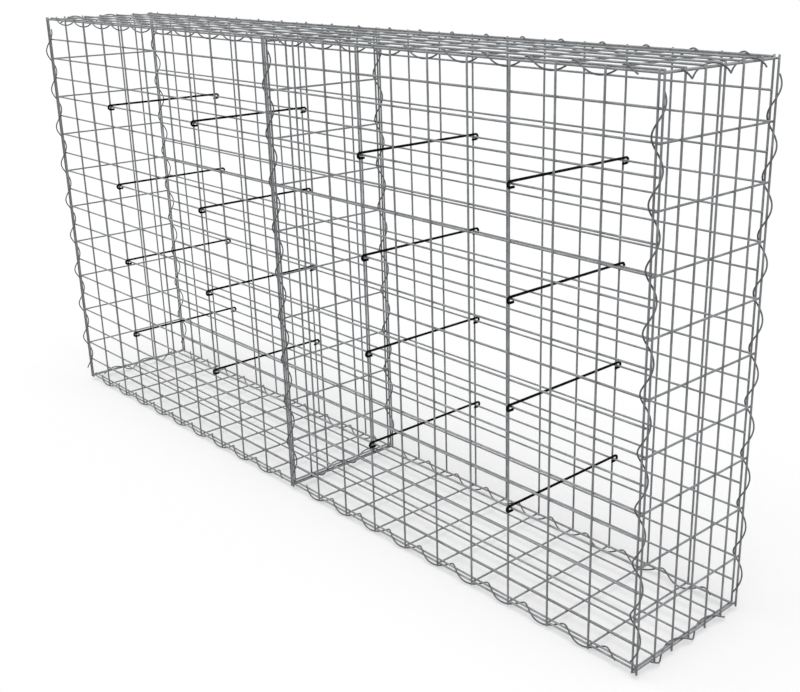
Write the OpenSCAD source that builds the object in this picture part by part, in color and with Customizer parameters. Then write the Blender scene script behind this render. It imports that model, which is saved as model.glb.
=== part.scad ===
// Empty welded mesh gabion basket of two bays, ready to be filled with stone.
// X runs along the basket, Y from front to back, and Z = 0 is the ground.

/* [Basket] */
// Length of one bay, from the middle divider to the upright wires of the end panel
bay_length = 1000; // [500:50:1500]
// Depth of the basket, between the upright wires of the front and back panels
basket_depth = 300; // [200:50:600]
// Height of the basket, between the bottom and top wires of its panels
basket_height = 1000; // [500:50:1500]

/* [Mesh] */
// Long side of a mesh cell
cell_long = 100; // [80:10:150]
// Short side of a mesh cell
cell_short = 50; // [40:5:75]
// Thickness of the panel wire
wire_d = 4; // [3:0.5:5]
// How far two crossing wires sink into each other at a weld
weld_depth = 0.5; // [0.3:0.1:1]
// How far a wire runs past its last crossing where it butts on the next panel
edge_stub = 3.5; // [3:0.25:5]
// How far an upright wire runs past the bottom and top wires
foot_stub = 6; // [3:0.5:8]

/* [Spirals] */
// Thickness of the spiral wire
spiral_d = 3; // [2:0.25:4]
// How far a spiral stops short of each end of its edge
spiral_setback = 25; // [20:1:40]

/* [Ties] */
// Thickness of a tie
tie_d = 5; // [3:0.5:6]
// Radius of the bend in a tie's hook, at the middle of its wire
hook_r = 5.25; // [5.25:0.25:8]
// How far the hook's bend starts outside the horizontal wire it hangs on
hook_reach = 6.5; // [3:0.5:10]
// Length of the straight tail that runs back from the hook's bend
hook_tail = 10; // [4:1:15]
// Rows of ties, one above the other
tie_rows = 4; // [2:1:6]

/* [Fit] */
// Air between pieces that seat on each other
seat = 0.3; // [0.2:0.05:0.5]

/* [Hidden] */

zinc = "#b9bdc0";
spiral_zinc = "#a7abaf";
tie_black = "#141414";
wire_sides = 8;
spiral_sides = 5;
spiral_rings = 8;
tie_facets = 32;

// Distance between the middles of two layers of crossing wires
layer = wire_d - weld_depth;
wire_r = wire_d / 2;
wire_corner_r = wire_r / cos(180 / wire_sides);

// Front and back panels: upright wires outside, horizontal wires inside
face_y = basket_depth / 2;
rail_y = face_y - layer;
inner_y = rail_y - wire_r;

// End panels stand past the ends of the long panels
end_x = bay_length;
end_rail_x = end_x - layer;
inner_x = end_rail_x - wire_r;

// First and last cross wires of the panels that run along a bay
bay_x0 = seat / 2 + edge_stub;
bay_x1 = inner_x - seat - edge_stub;
bay_span = bay_x1 - bay_x0;
bay_mid = (bay_x0 + bay_x1) / 2;

// Edge wires of the floor, the lid and the divider, between the front and back panels
floor_edge_y = inner_y - seat - edge_stub;
floor_span = 2 * floor_edge_y;

// The divider's edge wire and the two panel edges it meets lie on one circle
bundle_depth = face_y - floor_edge_y;
bundle_lift = (pow(bundle_depth, 2) + pow(layer / 2, 2) - pow(bay_x0, 2)) / (2 * bundle_depth);
bundle_r = norm([bay_x0, bundle_lift]);

// A spiral's chords clear the bundle by the seat
spiral_r = (bundle_r + wire_corner_r + seat + spiral_d / 2) / cos(180 / spiral_rings);
// Distance from a pair of edge wires to the axis of the spiral that holds both
function hang(pair) = sqrt(max(0, pow(bundle_r, 2) - pow(pair / 2, 2)));

corner_hang = hang(end_x - bay_x1);
lid_middle_hang = hang(2 * bay_x0);

// A spiral at the foot or head of an end panel also clears the panel's upright wires
end_spiral_x = end_x - bundle_r;
end_hang = hang(2 * (end_spiral_x - bay_x1));

// A spiral along the front or back hangs on the panel's last rail and the floor's edge wire
long_pair = [rail_y - floor_edge_y, layer];
long_hang = hang(norm(long_pair)) / norm(long_pair);
long_spiral_y = (rail_y + floor_edge_y) / 2 - long_hang * long_pair.y;
long_drop = long_hang * long_pair.x - layer / 2;

// The basket stands on its lowest floor spirals
floor_z = max(end_hang, long_drop) + spiral_r + spiral_d / 2;
lid_z = floor_z + basket_height;
mid_z = (floor_z + lid_z) / 2;

// The divider stands on the floor's long wires, under the lid's cross wires
divider_z0 = floor_z + layer + wire_r + seat;
divider_z1 = lid_z - wire_r - seat;

// Wires of a panel are spread evenly between its edge wires, as near the cell size as they fit
function cells(span, cell) = max(1, round(span / cell));
function pitch(span, cell) = span / cells(span, cell);
function spots(span, cell) = [for (i = [0 : cells(span, cell)]) i * pitch(span, cell) - span / 2];

upright_pitch = pitch(basket_height, cell_long);
long_pitch = pitch(bay_span, cell_long);
middle_pitch = 2 * pitch(floor_span, cell_short);
end_pitch = 2 * pitch(basket_depth, cell_short);
// The upright of an end panel that is nearest its middle
end_middle_y = spots(basket_depth, cell_short)[floor(cells(basket_depth, cell_short) / 2)];

// Turn of each spiral where it passes its first cross wire, so that it misses them all
corner_turn = 180;
middle_turn = 210;
floor_front_turn = 30;
lid_front_turn = 60;
long_back_turn = 0;
floor_middle_turn = 135;
lid_middle_turn = 0;
left_end_turn = 180;
right_end_turn = 0;

tie_columns = [3, 7];
tie_side = wire_r + tie_d / 2 + seat;
tie_rise = wire_r + tie_d / 2 + seat;
hook_y = rail_y + hook_reach;

// Straight wire of few sides, with flats along the axes, about its middle
module bar(length)
    rotate(180 / wire_sides)
        cylinder(r = wire_corner_r, h = length, center = true, $fn = wire_sides);

module bar_x(length) rotate([0, 90, 0]) bar(length);
module bar_y(length) rotate([90, 0, 0]) bar(length);
module bar_z(length) bar(length);

// Front or back panel of one bay: side is -1 in front, bay is -1 on the left
module face_panel(side, bay)
    color(zinc)
        translate([bay * bay_mid, 0, mid_z]) {
            for (x = spots(bay_span, cell_long))
                translate([x, side * face_y, 0])
                    bar_z(basket_height + 2 * foot_stub);
            for (z = spots(basket_height, cell_short))
                translate([0, side * rail_y, z])
                    bar_x(bay_span + 2 * edge_stub);
        }

module end_panel(side)
    color(zinc)
        translate([0, 0, mid_z]) {
            for (y = spots(basket_depth, cell_short))
                translate([side * end_x, y, 0])
                    bar_z(basket_height + 2 * foot_stub);
            for (z = spots(basket_height, cell_long))
                translate([side * end_rail_x, 0, z])
                    bar_y(basket_depth + 2 * edge_stub);
        }

module middle_divider() {
    divider_height = divider_z1 - divider_z0;
    color(zinc)
        translate([0, 0, (divider_z0 + divider_z1) / 2]) {
            for (y = spots(floor_span, cell_short))
                translate([-layer / 2, y, 0])
                    bar_z(divider_height);
            for (z = spots(divider_height - 2 * edge_stub, cell_long))
                translate([layer / 2, 0, z])
                    bar_y(floor_span + 2 * edge_stub);
        }
}

// Floor or lid of one bay: long wires lie on the cross wires
module level_panel(bay, z)
    color(zinc)
        translate([bay * bay_mid, 0, z]) {
            for (x = spots(bay_span, cell_long))
                translate([x, 0, 0])
                    bar_y(floor_span + 2 * edge_stub);
            for (y = spots(floor_span, cell_short))
                translate([0, y, layer])
                    bar_x(bay_span + 2 * edge_stub);
        }

// One ring of a spiral's wire: its first corner points straight out from the axis
function spiral_ring(angle, along, rise) =
    let (
        out = [cos(angle), sin(angle), 0],
        run = [-sin(angle), cos(angle), rise],
        across = cross(run, out) / norm(run)
    )
    [for (j = [0 : spiral_sides - 1])
        let (corner = 360 * j / spiral_sides)
        spiral_r * out + [0, 0, along]
            + spiral_d / 2 * (cos(corner) * out + sin(corner) * across)];

// Spiral along Z that binds an edge from 0 to span, at the given turn where it passes start
module spiral(span, pitch, turn, start = 0) {
    first = ceil((spiral_setback - start) / pitch * spiral_rings);
    last = floor((span - spiral_setback - start) / pitch * spiral_rings);
    steps = last - first;
    rise = pitch / (2 * PI * spiral_r);
    points = [for (i = [first : last])
        each spiral_ring(turn + 360 * i / spiral_rings, start + pitch * i / spiral_rings, rise)];
    n = spiral_sides;
    first_cap = [for (j = [0 : n - 1]) j];
    last_cap = [for (j = [n - 1 : -1 : 0]) steps * n + j];
    sides = [for (i = [0 : steps - 1], j = [0 : n - 1])
        let (a = i * n + j, b = i * n + (j + 1) % n)
        each [[a, a + n, b], [b, a + n, b + n]]];
    color(spiral_zinc)
        polyhedron(points, concat([first_cap, last_cap], sides));
}

module upright_spiral(x, y, turn)
    translate([x, y, floor_z])
        spiral(basket_height, upright_pitch, turn);

module corner_spiral(side, bay)
    upright_spiral(bay * (bay_x1 + end_x) / 2, side * (face_y + corner_hang), corner_turn);

module long_spiral(side, bay, z, turn)
    translate([bay < 0 ? -bay_x1 : bay_x0, side * long_spiral_y, z - long_drop])
        rotate([0, 90, 0])
            spiral(bay_span, long_pitch, turn);

// Spiral along Y, from the front edge of the floor to its back edge
module cross_spiral(x, z, pitch, turn, start = 0)
    translate([x, -floor_edge_y, z])
        rotate([-90, 0, 0])
            spiral(floor_span, pitch, turn, start);

module end_spiral(side, z)
    cross_spiral(
        side * end_spiral_x, z - end_hang, end_pitch,
        side < 0 ? left_end_turn : right_end_turn, floor_edge_y + end_middle_y);

// Hook at one end of a tie: a half turn down and a short tail back
module hook()
    translate([0, hook_y, 0])
        rotate([0, -90, 0]) {
            translate([-hook_r, 0, 0])
                rotate_extrude(angle = 180, $fn = tie_facets)
                    translate([hook_r, 0])
                        circle(d = tie_d, $fn = tie_facets);
            translate([-2 * hook_r, 0, 0])
                rotate([90, 0, 0])
                    cylinder(d = tie_d, h = hook_tail, $fn = tie_facets);
        }

module tie()
    union() {
        rotate([90, 0, 0])
            cylinder(d = tie_d, h = 2 * hook_y, center = true, $fn = tie_facets);
        hook();
        mirror([0, 1, 0]) hook();
    }

// Ties of one column, each hung on the horizontal wires beside an upright wire
module tie_column(bay, column) {
    x = bay * bay_mid + spots(bay_span, cell_long)[column];
    rails = spots(basket_height, cell_short);
    step = (len(rails) - 1) / (tie_rows + 1);
    color(tie_black)
        for (row = [1 : tie_rows])
            translate([x + tie_side, 0, mid_z + rails[round(row * step)] + tie_rise])
                tie();
}

module front_panel_left() face_panel(-1, -1);
module front_panel_right() face_panel(-1, 1);
module back_panel_left() face_panel(1, -1);
module back_panel_right() face_panel(1, 1);
module left_end_panel() end_panel(-1);
module right_end_panel() end_panel(1);
module floor_panel_left() level_panel(-1, floor_z);
module floor_panel_right() level_panel(1, floor_z);
module lid_panel_left() level_panel(-1, lid_z);
module lid_panel_right() level_panel(1, lid_z);

module front_spiral_left() corner_spiral(-1, -1);
module front_spiral_middle() upright_spiral(0, bundle_lift - face_y, middle_turn);
module front_spiral_right() corner_spiral(-1, 1);
module back_spiral_left() corner_spiral(1, -1);
module back_spiral_middle() upright_spiral(0, face_y - bundle_lift, middle_turn);
module back_spiral_right() corner_spiral(1, 1);

module floor_spiral_front_left() long_spiral(-1, -1, floor_z, floor_front_turn);
module floor_spiral_front_right() long_spiral(-1, 1, floor_z, floor_front_turn);
module floor_spiral_back_left() long_spiral(1, -1, floor_z, long_back_turn);
module floor_spiral_back_right() long_spiral(1, 1, floor_z, long_back_turn);
module floor_spiral_left_end() end_spiral(-1, floor_z);
module floor_spiral_middle() cross_spiral(0, floor_z + bundle_lift, middle_pitch, floor_middle_turn);
module floor_spiral_right_end() end_spiral(1, floor_z);

module lid_spiral_front_left() long_spiral(-1, -1, lid_z, lid_front_turn);
module lid_spiral_front_right() long_spiral(-1, 1, lid_z, lid_front_turn);
module lid_spiral_back_left() long_spiral(1, -1, lid_z, long_back_turn);
module lid_spiral_back_right() long_spiral(1, 1, lid_z, long_back_turn);
module lid_spiral_left_end() end_spiral(-1, lid_z);
module lid_spiral_middle() cross_spiral(0, lid_z - lid_middle_hang, middle_pitch, lid_middle_turn);
module lid_spiral_right_end() end_spiral(1, lid_z);

module ties_far_left() tie_column(-1, tie_columns[0]);
module ties_near_left() tie_column(-1, tie_columns[1]);
module ties_near_right() tie_column(1, tie_columns[0]);
module ties_far_right() tie_column(1, tie_columns[1]);

front_panel_left();
front_panel_right();
back_panel_left();
back_panel_right();
left_end_panel();
right_end_panel();
middle_divider();
floor_panel_left();
floor_panel_right();
lid_panel_left();
lid_panel_right();
front_spiral_left();
front_spiral_middle();
front_spiral_right();
back_spiral_left();
back_spiral_middle();
back_spiral_right();
floor_spiral_front_left();
floor_spiral_front_right();
floor_spiral_back_left();
floor_spiral_back_right();
floor_spiral_left_end();
floor_spiral_middle();
floor_spiral_right_end();
lid_spiral_front_left();
lid_spiral_front_right();
lid_spiral_back_left();
lid_spiral_back_right();
lid_spiral_left_end();
lid_spiral_middle();
lid_spiral_right_end();
ties_far_left();
ties_near_left();
ties_near_right();
ties_far_right();
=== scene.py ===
import bpy
import math
import numpy as np
from mathutils import Matrix, Vector


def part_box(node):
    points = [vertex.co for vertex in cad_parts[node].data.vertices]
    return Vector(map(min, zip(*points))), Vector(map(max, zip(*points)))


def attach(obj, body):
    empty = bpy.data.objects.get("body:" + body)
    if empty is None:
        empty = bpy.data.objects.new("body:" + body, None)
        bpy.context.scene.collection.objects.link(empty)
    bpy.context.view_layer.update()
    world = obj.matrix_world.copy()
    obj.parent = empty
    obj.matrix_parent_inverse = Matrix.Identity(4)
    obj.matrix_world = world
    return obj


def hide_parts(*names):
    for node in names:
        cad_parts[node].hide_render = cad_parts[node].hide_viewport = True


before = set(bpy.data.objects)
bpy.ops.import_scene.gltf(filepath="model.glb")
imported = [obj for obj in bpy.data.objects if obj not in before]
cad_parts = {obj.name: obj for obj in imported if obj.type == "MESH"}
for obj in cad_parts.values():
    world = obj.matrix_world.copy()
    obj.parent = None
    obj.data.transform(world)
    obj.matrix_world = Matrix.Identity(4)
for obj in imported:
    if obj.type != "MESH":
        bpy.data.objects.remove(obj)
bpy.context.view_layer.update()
rng = np.random.default_rng(41)
axes = np.eye(3)  # 0 along the basket, 1 from front to back, 2 up
print("frame loaded,", len(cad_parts), "nodes")


def nodeBox(node):
    lo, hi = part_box(node)
    return np.array(lo), np.array(hi)


# Wire surfaces
def cutEnds(rings, radius, cutBack):
    # the wire's radius at every ring, less the cut-back at the first and the last
    radii = np.full(rings, radius)
    radii[[0, -1]] -= cutBack
    return radii


def sweep(centres, radii, eA, eB, sides):
    # point = ring centre + ring radius * (cos a * eA + sin a * eB), with a running once round the ring
    a = np.arange(sides) * 2 * np.pi / sides
    ring = np.cos(a)[:, None] * eA[..., None, :] + np.sin(a)[:, None] * eB[..., None, :]
    return centres[..., None, :] + radii[:, None, None] * ring


def weave(points, tone, along, flip=False):
    # points[w, r, s] is ring r, side s of wire w. Quads join ring r to r+1 and side s to s+1,
    # and the first and last rings are closed by one polygon each. UV is metres along and turns round.
    wires, rings, sides = points.shape[:3]
    index = np.arange(wires * rings * sides).reshape(wires, rings, sides)
    nextSide = np.roll(index, -1, axis=2)
    quads = np.stack([index[:, :-1], nextSide[:, :-1], nextSide[:, 1:], index[:, 1:]], axis=-1)
    quads = quads.reshape(-1, 4)
    ends = np.concatenate([index[:, 0, ::-1], index[:, -1]])
    places = np.broadcast_to(along, (wires, rings))
    low = places[:, :-1, None]
    high = places[:, 1:, None]
    turn = np.arange(sides) / sides
    nextTurn = turn + 1 / sides
    u = np.stack([low, low, high, high], axis=-1)
    v = np.stack([turn, nextTurn, nextTurn, turn], axis=-1)
    uv = np.stack(np.broadcast_arrays(u, v), axis=-1).reshape(-1, 4, 2)
    if flip:
        quads = quads[:, ::-1]
        ends = ends[:, ::-1]
        uv = uv[:, ::-1]
    tones = np.broadcast_to(tone, points.shape[:3])
    return dict(points=points.reshape(-1, 3), quads=quads, ends=ends, uv=uv.reshape(-1, 2),
                endUv=np.zeros((ends.size, 2)), tone=tones.reshape(-1))


def layPiece(name, blocks, material, node):
    # woven blocks become one mesh, each block's corners counted on from the points before it
    points = np.concatenate([block["points"] for block in blocks])
    tones = np.concatenate([block["tone"] for block in blocks])
    before = np.cumsum([0] + [len(block["points"]) for block in blocks[:-1]])
    corners, sizes, uvs = [], [], []
    for block, offset in zip(blocks, before):
        for faces in (block["quads"], block["ends"]):
            corners.append((faces + offset).ravel())
            sizes.append(np.full(len(faces), faces.shape[1]))
        uvs += [block["uv"], block["endUv"]]
    corners = np.concatenate(corners).astype(np.int32)
    starts = np.concatenate([[0], np.cumsum(np.concatenate(sizes))[:-1]]).astype(np.int32)
    data = bpy.data.meshes.new(name)
    data.vertices.add(len(points))
    data.vertices.foreach_set("co", points.astype(np.float32).ravel())
    data.loops.add(len(corners))
    data.loops.foreach_set("vertex_index", corners)
    data.polygons.add(len(starts))
    data.polygons.foreach_set("loop_start", starts)
    data.update(calc_edges=True)
    data.polygons.foreach_set("use_smooth", np.full(len(starts), True))
    alongWire = data.uv_layers.new(name="alongWire")
    alongWire.data.foreach_set("uv", np.concatenate(uvs).astype(np.float32).ravel())
    toneLayer = data.attributes.new("tone", "FLOAT", "POINT")
    toneLayer.data.foreach_set("value", tones.astype(np.float32))
    data.materials.append(material)
    piece = bpy.data.objects.new(name, data)
    bpy.context.scene.collection.objects.link(piece)
    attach(piece, "root")
    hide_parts(node)


# Materials
def nodeTree(name):
    material = bpy.data.materials.new(name)
    material.use_nodes = True
    tree = material.node_tree
    return material, tree, tree.nodes["Principled BSDF"]


def add(tree, kind, **settings):
    node = tree.nodes.new(kind)
    for key, value in settings.items():
        setattr(node, key, value)
    return node


def noise(tree, coords, scale, detail=3.0, rough=0.6):
    node = add(tree, "ShaderNodeTexNoise")
    node.inputs["Scale"].default_value = scale
    node.inputs["Detail"].default_value = detail
    node.inputs["Roughness"].default_value = rough
    tree.links.new(coords, node.inputs["Vector"])
    return node.outputs["Fac"]


def ramp(tree, fac, stops):
    # stops are pairs of a place and a colour, and one number stands for a grey
    node = add(tree, "ShaderNodeValToRGB")
    band = node.color_ramp
    while len(band.elements) < len(stops):
        band.elements.new(0.5)
    for element, (place, colour) in zip(band.elements, stops):
        element.position = place
        element.color = (*np.broadcast_to(colour, 3), 1.0)
    tree.links.new(fac, node.inputs["Fac"])
    return node.outputs["Color"]


def blend(tree, how, amount, a, b):
    node = add(tree, "ShaderNodeMix", data_type="RGBA", blend_type=how)
    node.inputs["Factor"].default_value = amount
    tree.links.new(a, node.inputs["A"])
    tree.links.new(b, node.inputs["B"])
    return node.outputs["Result"]


zinc = dict(bloomDetail=4.0, flakes=[(0.2, 0.82), (0.8, 1.0)], flakeAmount=0.7,
            toneShade=[(0.0, 0.6), (1.0, 1.0)], streaks=(60.0, 9.0, 1.0), streakDetail=2.0,
            metallic=0.2, gloss=0.35, grainScale=900.0, grainStrength=0.25, grainDepth=0.0003)
meshLook = dict(zinc, bloomScale=45.0, flakeScale=260.0, sheen=[(0.25, 0.34), (0.75, 0.55)],
                bloom=[(0.3, (0.3, 0.312, 0.324)),
                       (0.52, (0.39, 0.406, 0.421)),
                       (0.72, (0.495, 0.515, 0.535))])
coilLook = dict(zinc, bloomScale=70.0, flakeScale=340.0, sheen=[(0.25, 0.36), (0.75, 0.58)],
                bloom=[(0.3, (0.13, 0.138, 0.146)),
                       (0.52, (0.18, 0.189, 0.198)),
                       (0.72, (0.25, 0.259, 0.268))])


def zincWire(name, look):
    # zinc bloom and flakes in object space, drawing streaks along the wire's UV, and a tone for each wire
    material, tree, shader = nodeTree(name)
    place = add(tree, "ShaderNodeTexCoord")
    spot = place.outputs["Object"]
    colour = ramp(tree, noise(tree, spot, look["bloomScale"], look["bloomDetail"]), look["bloom"])
    spangle = add(tree, "ShaderNodeTexVoronoi")
    spangle.inputs["Scale"].default_value = look["flakeScale"]
    tree.links.new(spot, spangle.inputs["Vector"])
    flakes = ramp(tree, spangle.outputs["Color"], look["flakes"])
    colour = blend(tree, "MULTIPLY", look["flakeAmount"], colour, flakes)
    wireTone = add(tree, "ShaderNodeAttribute", attribute_name="tone")
    toned = ramp(tree, wireTone.outputs["Fac"], look["toneShade"])
    colour = blend(tree, "MULTIPLY", 1.0, colour, toned)
    tree.links.new(colour, shader.inputs["Base Color"])
    stretch = add(tree, "ShaderNodeMapping")
    stretch.inputs["Scale"].default_value = look["streaks"]
    tree.links.new(place.outputs["UV"], stretch.inputs["Vector"])
    streaks = noise(tree, stretch.outputs["Vector"], 1.0, look["streakDetail"])
    tree.links.new(ramp(tree, streaks, look["sheen"]), shader.inputs["Roughness"])
    shader.inputs["Metallic"].default_value = look["metallic"]
    shader.inputs["Specular IOR Level"].default_value = look["gloss"]
    bump = add(tree, "ShaderNodeBump")
    bump.inputs["Strength"].default_value = look["grainStrength"]
    bump.inputs["Distance"].default_value = look["grainDepth"]
    tree.links.new(noise(tree, spot, look["grainScale"]), bump.inputs["Height"])
    tree.links.new(bump.outputs["Normal"], shader.inputs["Normal"])
    return material


tieLook = dict(dustScale=120.0, dustDetail=4.0, sheenScale=400.0, sheen=[(0.3, 0.42), (0.7, 0.6)],
               dust=[(0.35, (0.0012, 0.0012, 0.0014)), (0.75, (0.005, 0.005, 0.0055))],
               worn=[(0.0, 0.006), (0.6, 0.0)], gloss=0.04)


def blackCoat(name, look):
    # satin black coat with faint dusty patches, and grey rubs where the tone runs low in the hooks
    material, tree, shader = nodeTree(name)
    place = add(tree, "ShaderNodeTexCoord")
    spot = place.outputs["Object"]
    colour = ramp(tree, noise(tree, spot, look["dustScale"], look["dustDetail"]), look["dust"])
    rub = add(tree, "ShaderNodeAttribute", attribute_name="tone")
    worn = ramp(tree, rub.outputs["Fac"], look["worn"])
    tree.links.new(blend(tree, "ADD", 1.0, colour, worn), shader.inputs["Base Color"])
    sheen = ramp(tree, noise(tree, spot, look["sheenScale"]), look["sheen"])
    tree.links.new(sheen, shader.inputs["Roughness"])
    shader.inputs["Specular IOR Level"].default_value = look["gloss"]
    return material


meshZinc = zincWire("meshZinc", meshLook)
coilZinc = zincWire("coilZinc", coilLook)
tieCoat = blackCoat("tieCoat", tieLook)
print("materials ready")

# Welded panels
weldedMesh = dict(wire=0.004, cellLong=0.1, cellShort=0.05, edgeStub=0.0035, footStub=0.006)
wireLook = dict(sides=10, step=0.025, chamfer=0.0005, cutBack=0.0004, sway=0.00012, waves=(2.2, 5.5),
                toneRange=(0.62, 1.0), weldShade=0.12, weldSharpness=4)
bead = dict(sides=8, levels=(-0.94, -0.5, 0.0, 0.5, 0.94), reach=0.002496, height=0.00105,
            sizeRange=(0.9, 1.1), toneRange=(0.35, 0.7))


def straightWires(starts, axis, length, across, cell):
    # ring centre = start + s along the axis, moved each way across it by the product of two slow sine waves,
    # no further than the sway; the tone is one for each wire, and darkens at the welds, a cell apart
    chamfer, sway = wireLook["chamfer"], wireLook["sway"]
    inner = np.linspace(0.0, length, int(round(length / wireLook["step"])) + 1)[1:-1]
    s = np.concatenate([[0.0, chamfer], inner, [length - chamfer, length]])
    count = len(starts)
    phase = rng.uniform(0, 2 * np.pi, (count, 4, 1))
    wave = rng.uniform(*wireLook["waves"], (count, 2, 1))
    offA = sway * np.sin(2 * wave[:, 0] * s + phase[:, 0]) * np.sin(wave[:, 1] * s + phase[:, 1])
    offB = sway * np.sin(2 * wave[:, 1] * s + phase[:, 2]) * np.sin(wave[:, 0] * s + phase[:, 3])
    eA, eB, eS = axes[across[0]], axes[across[1]], axes[axis]
    centres = starts[:, None] + s[:, None] * eS + offA[..., None] * eA + offB[..., None] * eB
    radii = cutEnds(len(s), weldedMesh["wire"] / 2, wireLook["cutBack"])
    points = sweep(centres, radii, eA, eB, wireLook["sides"])
    nearWeld = 0.5 + 0.5 * np.cos(2 * np.pi * (s - length / 2) / cell)
    wireTone = rng.uniform(*wireLook["toneRange"], (count, 1, 1))
    tone = wireTone - wireLook["weldShade"] * nearWeld[:, None] ** wireLook["weldSharpness"]
    leftHanded = np.dot(np.cross(eA, eB), eS) < 0
    return weave(points, tone, s, flip=leftHanded)


def weldBeads(centres, axis, side, through):
    # bead radius at level h in -1..1 is reach * sqrt(1 - h^2), and the levels run through the panel's
    # thickness, so each bead is a flattened ball cut off square at both poles
    a = (np.arange(bead["sides"]) + 0.5) * 2 * np.pi / bead["sides"]
    h = np.array(bead["levels"])
    eA, eB, eN = axes[axis], axes[side], axes[through]
    size = rng.uniform(*bead["sizeRange"], (len(centres), 1, 1, 1))
    reach = bead["reach"] * np.sqrt(1 - h ** 2)
    lift = bead["height"] * h
    flat = np.cos(a)[:, None] * eA + np.sin(a)[:, None] * eB
    ball = reach[:, None, None] * flat + lift[:, None, None] * eN
    points = centres[:, None, None] + size * ball
    tone = rng.uniform(*bead["toneRange"], (len(centres), 1, 1))
    leftHanded = np.dot(np.cross(eA, eB), eN) < 0
    return weave(points, tone, lift, flip=leftHanded)


def evenly(low, high, margin, cell):
    # whole cells nearest to the given one, spread between the two margins
    cells = int(round((high - low - 2 * margin) / cell))
    return np.linspace(low + margin, high - margin, cells + 1)


def meshPanel(name, node, plan):
    # bars run along one axis on one side of the panel's thickness, rails along the other on the other side
    lo, hi = nodeBox(node)
    up, side = plan["bars"], plan["rails"]
    through = 3 - up - side
    radius = weldedMesh["wire"] / 2
    depths = [lo[through] + radius, hi[through] - radius]
    barDepth, railDepth = depths if plan["barsLow"] else depths[::-1]
    barSpots = evenly(lo[side], hi[side], weldedMesh["edgeStub"], plan["barCell"])
    railSpots = evenly(lo[up], hi[up], plan["stub"], plan["railCell"])
    bars = np.tile(lo, (len(barSpots), 1))
    bars[:, side] = barSpots
    bars[:, through] = barDepth
    rails = np.tile(lo, (len(railSpots), 1))
    rails[:, up] = railSpots
    rails[:, through] = railDepth
    welds = np.zeros((len(barSpots), len(railSpots), 3))
    welds[..., side] = barSpots[:, None]
    welds[..., up] = railSpots
    welds[..., through] = (barDepth + railDepth) / 2
    blocks = [straightWires(bars, up, hi[up] - lo[up], (side, through), plan["railCell"]),
              straightWires(rails, side, hi[side] - lo[side], (up, through), plan["barCell"]),
              weldBeads(welds.reshape(-1, 3), up, side, through)]
    layPiece(name, blocks, meshZinc, node)


longCell, shortCell = weldedMesh["cellLong"], weldedMesh["cellShort"]
facePlan = dict(bars=2, rails=0, barCell=longCell, railCell=shortCell, stub=weldedMesh["footStub"])
endPlan = dict(bars=2, rails=1, barCell=shortCell, railCell=longCell, stub=weldedMesh["footStub"])
flatPlan = dict(bars=1, rails=0, barCell=longCell, railCell=shortCell, stub=weldedMesh["edgeStub"],
                barsLow=True)
for hand in ("left", "right"):
    meshPanel("frontMesh_" + hand, "front_panel_" + hand, dict(facePlan, barsLow=True))
    meshPanel("backMesh_" + hand, "back_panel_" + hand, dict(facePlan, barsLow=False))
    meshPanel("endMesh_" + hand, hand + "_end_panel", dict(endPlan, barsLow=hand == "left"))
    meshPanel("floorMesh_" + hand, "floor_panel_" + hand, flatPlan)
    meshPanel("lidMesh_" + hand, "lid_panel_" + hand, flatPlan)
meshPanel("dividerMesh", "middle_divider", dict(endPlan, stub=weldedMesh["edgeStub"], barsLow=True))
print("eleven welded panels laid")

# Spiral binders
coil = dict(wire=0.003, radius=0.0095, setback=0.025, sides=10, ringsPerTurn=28, stepsPerTurn=8,
            nearStep=1e-6, chamfer=0.0004, cutBack=0.00032, tone=0.8, toneSwing=0.15, toneWave=9.0)
# two directions across and one along, for a coil along each axis
coilAxes = {0: (-axes[2], axes[1], axes[0]), 1: (axes[0], -axes[2], axes[1]), 2: (axes[0], axes[1], axes[2])}
startTurn = dict(upright=dict(left=180, middle=210, right=180),  # degrees round at the datum
                 floor=dict(front=30, back=0, middle=135, leftEnd=180, rightEnd=0),
                 lid=dict(front=60, back=0, middle=0, leftEnd=180, rightEnd=0))


def spiral(name, node, plan):
    # centre = axis + radius * (cos t, sin t) across it + s along it, with the angle
    # t = turn + 2 pi (s - datum) / pitch; each ring of the wire stands square to the path,
    # and both ends lie whole steps from the datum
    lo, hi = nodeBox(node)
    along, span, datum = plan["along"], plan["span"], plan["datum"]
    eA, eB, eS = coilAxes[along]
    axisPoint = (lo + hi) / 2
    axisPoint[along] = plan["start"]
    pitch = span / plan["turns"]
    step = pitch / coil["stepsPerTurn"]
    first = math.ceil((coil["setback"] - datum) / step - coil["nearStep"]) * step + datum
    last = math.floor((span - coil["setback"] - datum) / step + coil["nearStep"]) * step + datum
    rings = int(round((last - first) / pitch * coil["ringsPerTurn"])) + 1
    inner = np.linspace(first, last, rings)[1:-1]
    rise = pitch / np.hypot(pitch, 2 * np.pi * coil["radius"])  # metres along the axis for a metre of wire
    chamfer = coil["chamfer"] * rise
    s = np.concatenate([[first, first + chamfer], inner, [last - chamfer, last]])
    t = np.radians(plan["turn"]) + 2 * np.pi * (s - datum) / pitch
    out = np.cos(t)[:, None] * eA + np.sin(t)[:, None] * eB
    around = np.cos(t)[:, None] * eB - np.sin(t)[:, None] * eA
    square = np.sqrt(1 - rise ** 2) * eS - rise * around
    centres = axisPoint + coil["radius"] * out + s[:, None] * eS
    radii = cutEnds(len(s), coil["wire"] / 2, coil["cutBack"])
    points = sweep(centres, radii, out, square, coil["sides"])
    length = (s - first) / rise
    tone = coil["tone"] + coil["toneSwing"] * np.sin(coil["toneWave"] * length + plan["turn"])
    block = weave(points[None], tone[:, None], length, flip=True)
    layPiece(name, [block], coilZinc, node)


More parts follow.
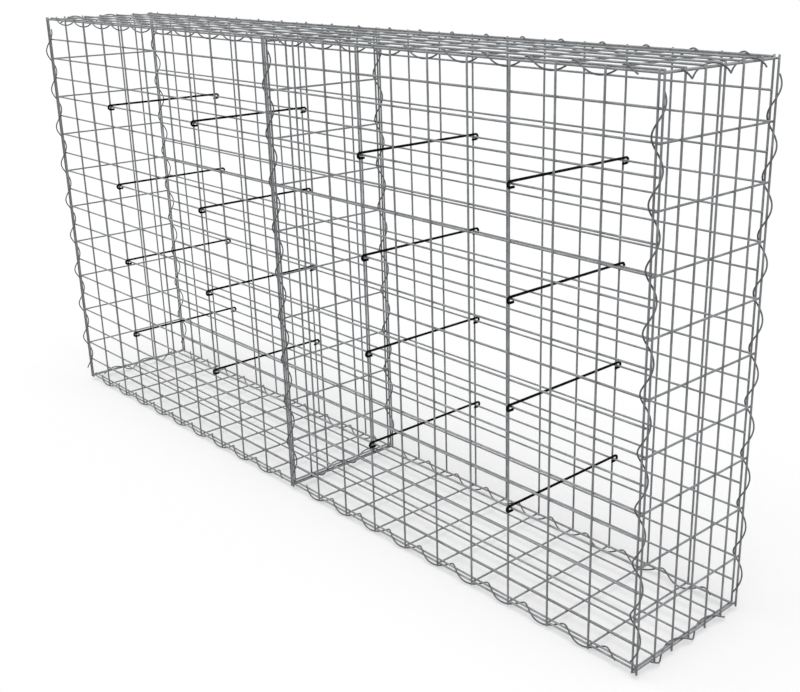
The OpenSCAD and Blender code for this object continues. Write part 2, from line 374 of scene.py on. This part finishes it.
# The axes of the edges, read from the panels that the spirals bind
frontLo, frontHi = nodeBox("front_panel_right")
floorLo, floorHi = nodeBox("floor_panel_right")
floorZ = frontLo[2] + weldedMesh["footStub"]
height = frontHi[2] - frontLo[2] - 2 * weldedMesh["footStub"]
bayStart = frontLo[0] + weldedMesh["edgeStub"]
bayLength = frontHi[0] - frontLo[0] - 2 * weldedMesh["edgeStub"]
frontY = floorLo[1] + weldedMesh["edgeStub"]
depth = floorHi[1] - floorLo[1] - 2 * weldedMesh["edgeStub"]
upright = dict(along=2, start=floorZ, span=height, turns=round(height / longCell), datum=0.0)
lengthwise = dict(along=0, span=bayLength, turns=round(bayLength / longCell), datum=0.0)
middleCross = dict(along=1, start=frontY, span=depth, turns=round(depth / longCell), datum=0.0)
endCross = dict(along=1, start=frontY, span=depth, turns=depth / longCell, datum=depth / 2)
for hand, turn in startTurn["upright"].items():
    spiral("frontCoil_" + hand, "front_spiral_" + hand, dict(upright, turn=turn))
    spiral("backCoil_" + hand, "back_spiral_" + hand, dict(upright, turn=turn))
for level in ("floor", "lid"):
    turnOf = startTurn[level]
    for hand, start in (("left", -bayStart - bayLength), ("right", bayStart)):
        for face in ("front", "back"):
            bayEdge = dict(lengthwise, start=start, turn=turnOf[face])
            spiral(level + "Coil_" + face + "_" + hand, level + "_spiral_" + face + "_" + hand, bayEdge)
    spiral(level + "Coil_middle", level + "_spiral_middle", dict(middleCross, turn=turnOf["middle"]))
    spiral(level + "Coil_leftEnd", level + "_spiral_left_end", dict(endCross, turn=turnOf["leftEnd"]))
    spiral(level + "Coil_rightEnd", level + "_spiral_right_end", dict(endCross, turn=turnOf["rightEnd"]))
print("twenty spirals wound")

# Hooked ties
tie = dict(wire=0.005, hookRadius=0.00525, tail=0.01, rows=4, sides=12, bendRings=18, shaftRings=13,
           chamfer=0.0005, cutBack=0.0004, rubReach=0.006, rubDepth=0.8, rubRange=(0.3, 1.0))


def tieColumn(name, node):
    # path in a plane across the basket: tail, half turn of the hook, shaft, half turn, tail; the ring's two
    # directions are the basket's length and the path's own normal; the tone dips in a bell round each hook
    lo, hi = nodeBox(node)
    radius, bend, tail = tie["wire"] / 2, tie["hookRadius"], tie["tail"]
    middleX = (lo[0] + hi[0]) / 2
    hookY = hi[1] - radius - bend
    levels = np.linspace(lo[2] + radius + 2 * bend, hi[2] - radius, tie["rows"])
    arc = np.linspace(-np.pi / 2, np.pi / 2, tie["bendRings"])
    tailY = hookY - np.array([tail, tail - tie["chamfer"], tail / 2])
    tailZ = np.full(len(tailY), -2 * bend)
    backHook = np.stack([np.concatenate([tailY, hookY + bend * np.cos(arc)]),
                         np.concatenate([tailZ, bend * np.sin(arc) - bend])], axis=-1)
    shaftY = np.linspace(hookY, -hookY, tie["shaftRings"] + 2)[1:-1]
    shaft = np.stack([shaftY, np.zeros(len(shaftY))], axis=-1)
    frontHook = backHook[::-1] * np.array([-1.0, 1.0])
    path = np.concatenate([backHook, shaft, frontHook])
    step = np.gradient(path, axis=0)
    step /= np.linalg.norm(step, axis=1, keepdims=True)
    along = np.concatenate([[0], np.cumsum(np.linalg.norm(np.diff(path, axis=0), axis=1))])
    centres = np.insert(path, 0, middleX, axis=1)
    normal = np.stack([np.zeros(len(path)), -step[:, 1], step[:, 0]], axis=-1)
    radii = cutEnds(len(path), radius, tie["cutBack"])
    points = sweep(centres, radii, axes[0], normal, tie["sides"]) + levels[:, None, None, None] * axes[2]
    inHook = np.exp(-((np.abs(path[:, 0]) - hookY - bend) / tie["rubReach"]) ** 2)
    rub = tie["rubDepth"] * rng.uniform(*tie["rubRange"], (len(levels), 1, 1))
    block = weave(points, 1.0 - rub * inHook[:, None], along, flip=True)
    layPiece(name, [block], tieCoat, node)


for spot in ("far_left", "near_left", "near_right", "far_right"):
    tieColumn("tieColumn_" + spot, "ties_" + spot)
print("sixteen ties hooked in")

# Studio
white = (1.0, 1.0, 1.0, 1.0)
studio = dict(floorSize=60.0, floorColour=(0.5, 0.5, 0.5), floorGlow=0.5, floorRough=0.9,
              bounceColour=(0.3, 0.3, 0.3), skyLevel=0.28)
lamps = dict(keyLight=dict(place=(0.3, -0.5, 2.4), angle=45.0, strength=2.0),
             leftLight=dict(place=(-2.0, -1.2, 1.8), angle=50.0, strength=0.4),
             rightLight=dict(place=(2.0, 0.6, 1.5), angle=50.0, strength=0.2))


def seenAsWhite(tree):
    # one for rays from the camera, and for mirror and clear rays that show the background
    path = add(tree, "ShaderNodeLightPath")
    first = add(tree, "ShaderNodeMath", operation="MAXIMUM")
    second = add(tree, "ShaderNodeMath", operation="MAXIMUM")
    tree.links.new(path.outputs["Is Camera Ray"], first.inputs[0])
    tree.links.new(path.outputs["Is Glossy Ray"], first.inputs[1])
    tree.links.new(first.outputs["Value"], second.inputs[0])
    tree.links.new(path.outputs["Is Transmission Ray"], second.inputs[1])
    return second.outputs["Value"]


def paleFloor():
    # half of the white that is seen is the floor's own glow and half is lit, so that a pale shadow stays
    half = studio["floorSize"] / 2
    rim = [(-half, -half, 0), (half, -half, 0), (half, half, 0), (-half, half, 0)]
    data = bpy.data.meshes.new("paleFloor")
    data.from_pydata(rim, [], [(0, 1, 2, 3)])
    floor = bpy.data.objects.new("paleFloor", data)
    bpy.context.scene.collection.objects.link(floor)
    material, tree, shader = nodeTree("paleFloor")
    seen = seenAsWhite(tree)
    pick = add(tree, "ShaderNodeMix", data_type="RGBA")
    pick.inputs["A"].default_value = (*studio["bounceColour"], 1.0)
    pick.inputs["B"].default_value = (*studio["floorColour"], 1.0)
    tree.links.new(seen, pick.inputs["Factor"])
    tree.links.new(pick.outputs["Result"], shader.inputs["Base Color"])
    glow = add(tree, "ShaderNodeMath", operation="MULTIPLY")
    glow.inputs[1].default_value = studio["floorGlow"]
    tree.links.new(seen, glow.inputs[0])
    tree.links.new(glow.outputs["Value"], shader.inputs["Emission Strength"])
    shader.inputs["Emission Color"].default_value = white
    shader.inputs["Roughness"].default_value = studio["floorRough"]
    shader.inputs["Specular IOR Level"].default_value = 0.0
    data.materials.append(material)


def whiteWorld():
    # full white where it is seen, and the sky's level where it lights the wires
    world = bpy.data.worlds.new("whiteWorld")
    bpy.context.scene.world = world
    world.use_nodes = True
    tree = world.node_tree
    back = tree.nodes["Background"]
    back.inputs["Color"].default_value = white
    level = add(tree, "ShaderNodeMapRange")
    level.inputs["To Min"].default_value = studio["skyLevel"]
    level.inputs["To Max"].default_value = 1.0
    tree.links.new(seenAsWhite(tree), level.inputs["Value"])
    tree.links.new(level.outputs["Result"], back.inputs["Strength"])


def softSun(name, place, angle, strength):
    light = bpy.data.lights.new(name, "SUN")
    light.angle = math.radians(angle)
    light.energy = strength
    lamp = bpy.data.objects.new(name, light)
    lamp.rotation_euler = (-Vector(place)).to_track_quat("-Z", "Y").to_euler()
    bpy.context.scene.collection.objects.link(lamp)


paleFloor()
whiteWorld()
for name, lamp in lamps.items():
    softSun(name, **lamp)
print("studio lit")

# Camera
shot = dict(place=(1.9687, -1.4656, 1.1867), aim=(0.4414, 0.0, 0.4513), roll=0.527, sensor=36.0, lens=50.273,
            shift=(-0.0875, -0.01375), farClip=200.0)
camera = bpy.data.cameras.new("shot")
camera.sensor_width = shot["sensor"]
camera.lens = shot["lens"]
camera.shift_x, camera.shift_y = shot["shift"]
camera.clip_end = shot["farClip"]
viewer = bpy.data.objects.new("shot", camera)
turnedTo = (Vector(shot["aim"]) - Vector(shot["place"])).to_track_quat("-Z", "Y").to_matrix().to_4x4()
rolled = Matrix.Rotation(math.radians(-shot["roll"]), 4, "Z")
viewer.matrix_world = Matrix.Translation(shot["place"]) @ turnedTo @ rolled
bpy.context.scene.collection.objects.link(viewer)
bpy.context.scene.camera = viewer
bpy.context.scene.view_settings.view_transform = "Standard"
print("camera placed")
